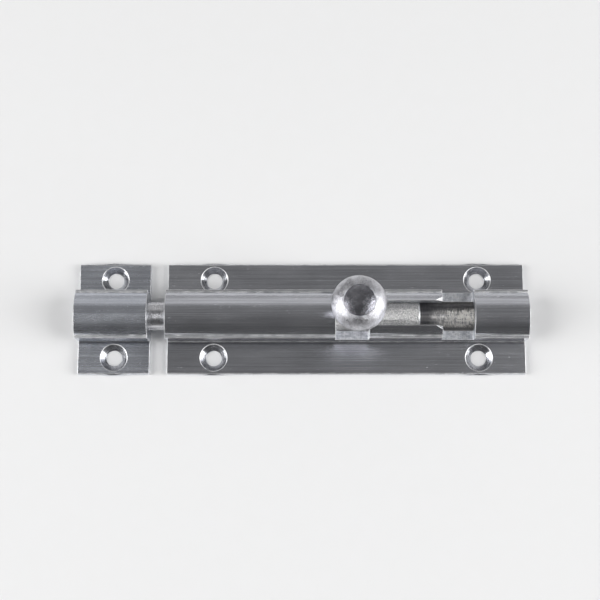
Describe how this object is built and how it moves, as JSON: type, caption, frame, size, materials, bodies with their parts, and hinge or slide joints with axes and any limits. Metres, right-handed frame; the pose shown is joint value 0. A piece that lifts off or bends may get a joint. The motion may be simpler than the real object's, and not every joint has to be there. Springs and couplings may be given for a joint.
{
  "type": "barrel bolt",
  "caption": "Straight surface-mounted barrel bolt with a sliding round bar, a side-turning knob that locks in notches, and a matching keeper.",
  "frame": {"origin": "centre of the barrel plate's back face", "axes": "+X along the bolt towards its tail, +Y across the plate, +Z out of the mounting face"},
  "size_m": [0.1268, 0.0324, 0.0304],
  "materials": {
    "extruded_aluminium": "extruded, satin, fine lengthwise draw lines",
    "bright_steel": "ground bright",
    "dull_steel": "fine blasted",
    "turned_steel": "turned, satin"
  },
  "bodies": {
    "body": {"barrel_body": "extruded_aluminium"},
    "keeper": {"keeper": "extruded_aluminium"},
    "shoot": {"bolt_shoot": "bright_steel"},
    "knob": {"bolt_tail": "dull_steel", "knob_stem": "turned_steel", "knob_head": "turned_steel"}
  },
  "joints": [
    {"name": "bolt_slide", "type": "slide", "parent": "body", "child": "shoot", "axis": [1, 0, 0], "range_m": [-0.0026, 0.0295]},
    {"name": "knob_turn", "type": "hinge", "parent": "shoot", "child": "knob", "pos_m": [0, 0, 0.0061], "axis": [-1, 0, 0], "range_deg": [-52, 52]},
    {"name": "keeper_off", "type": "slide", "parent": "body", "child": "keeper", "axis": [-1, 0, 0], "range_m": [0, 0.03]}
  ]
}
